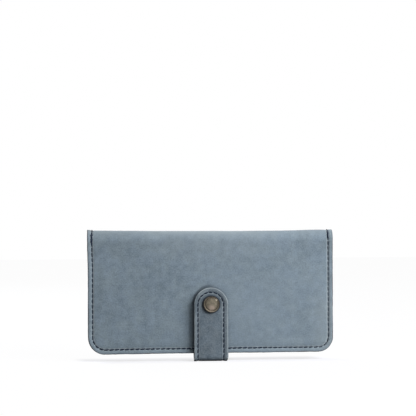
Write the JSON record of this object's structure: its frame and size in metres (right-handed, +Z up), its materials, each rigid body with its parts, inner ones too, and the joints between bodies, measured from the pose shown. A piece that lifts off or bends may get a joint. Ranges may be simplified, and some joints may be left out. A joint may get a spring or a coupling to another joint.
{
  "type": "long leather wallet",
  "caption": "Long bifold leather wallet with a snap tab, card slots, a banknote pocket and a zipped coin pocket.",
  "frame": {"origin": "on the floor under the middle of the closed wallet, at the bottom centre of its box", "axes": "+X along the fold to the right, +Y from the snap side to the back, +Z up to the fold"},
  "size_m": [0.1914, 0.0258, 0.1009],
  "materials": {
    "cover_leather": "slate blue nubuck, matt, rubbed paler along the fold and edges",
    "tab_leather": "slate blue nubuck, matt, a little darker than the covers",
    "pocket_leather": "thin slate blue leather, matt",
    "lining_leather": "thin grey blue lining leather, matt",
    "navy_thread": "waxed navy thread",
    "zip_tape": "woven navy tape",
    "antique_brass": "antique brass, brown, rubbed bright on raised edges",
    "spring_steel": "plain spring steel"
  },
  "bodies": {
    "back": {"back_cover": "cover_leather", "back_lining": "lining_leather", "bill_pocket": "pocket_leather", "coin_back": "lining_leather", "coin_gusset": "lining_leather", "coin_front": "pocket_leather", "zip_tape_lower": "zip_tape", "zip_tape_upper": "zip_tape", "zip_teeth_lower": "antique_brass", "zip_teeth_upper": "antique_brass", "zip_stops": "antique_brass", "tab_anchor_outer": "tab_leather", "tab_anchor_lining": "lining_leather", "back_cover_thread": "navy_thread", "tab_anchor_thread": "navy_thread"},
    "spine": {"spine_fold": "cover_leather", "spine_lining": "lining_leather", "spine_thread": "navy_thread"},
    "front": {"front_cover": "cover_leather", "front_lining": "lining_leather", "slip_pocket": "pocket_leather", "card_slot_left_1": "pocket_leather", "card_slot_left_2": "pocket_leather", "card_slot_left_3": "pocket_leather", "card_slot_left_4": "pocket_leather", "card_slot_right_1": "pocket_leather", "card_slot_right_2": "pocket_leather", "card_slot_right_3": "pocket_leather", "card_slot_right_4": "pocket_leather", "snap_stud": "antique_brass", "snap_eyelet": "antique_brass", "front_cover_thread": "navy_thread"},
    "tab_under": {"tab_under_outer": "tab_leather", "tab_under_lining": "lining_leather", "tab_under_thread": "navy_thread"},
    "tab_flap": {"tab_flap_outer": "tab_leather", "tab_flap_lining": "lining_leather", "tab_flap_thread": "navy_thread", "snap_cap": "antique_brass", "snap_socket": "antique_brass", "snap_spring": "spring_steel"},
    "slider": {"zip_slider": "antique_brass"},
    "pull": {"zip_pull": "antique_brass"}
  },
  "joints": [
    {"name": "spine_bend", "type": "hinge", "parent": "back", "child": "spine", "pos_m": [0, 0.00756, 0.09816], "axis": [-1, 0, 0], "range_deg": [0, 90]},
    {"name": "front_bend", "type": "hinge", "parent": "spine", "child": "front", "pos_m": [0, -0.00376, 0.09816], "axis": [-1, 0, 0], "range_deg": [0, 90]},
    {"name": "tab_heel", "type": "hinge", "parent": "back", "child": "tab_under", "pos_m": [0, 0.01133, 0.00117], "axis": [1, 0, 0], "range_deg": [0, 90]},
    {"name": "tab_open", "type": "hinge", "parent": "tab_under", "child": "tab_flap", "pos_m": [0, -0.00973, 0.00117], "axis": [1, 0, 0], "range_deg": [0, 90]},
    {"name": "zip_slide", "type": "slide", "parent": "back", "child": "slider", "axis": [-1, 0, 0], "range_m": [0, 0.1386]},
    {"name": "zip_pull_swing", "type": "hinge", "parent": "slider", "child": "pull", "pos_m": [0.0693, 0.0017, 0.0795], "axis": [0, 1, 0], "range_deg": [-80, 80]}
  ],
  "couplings": [
    {"joint": "front_bend", "follows": "spine_bend", "ratio": 1}
  ]
}
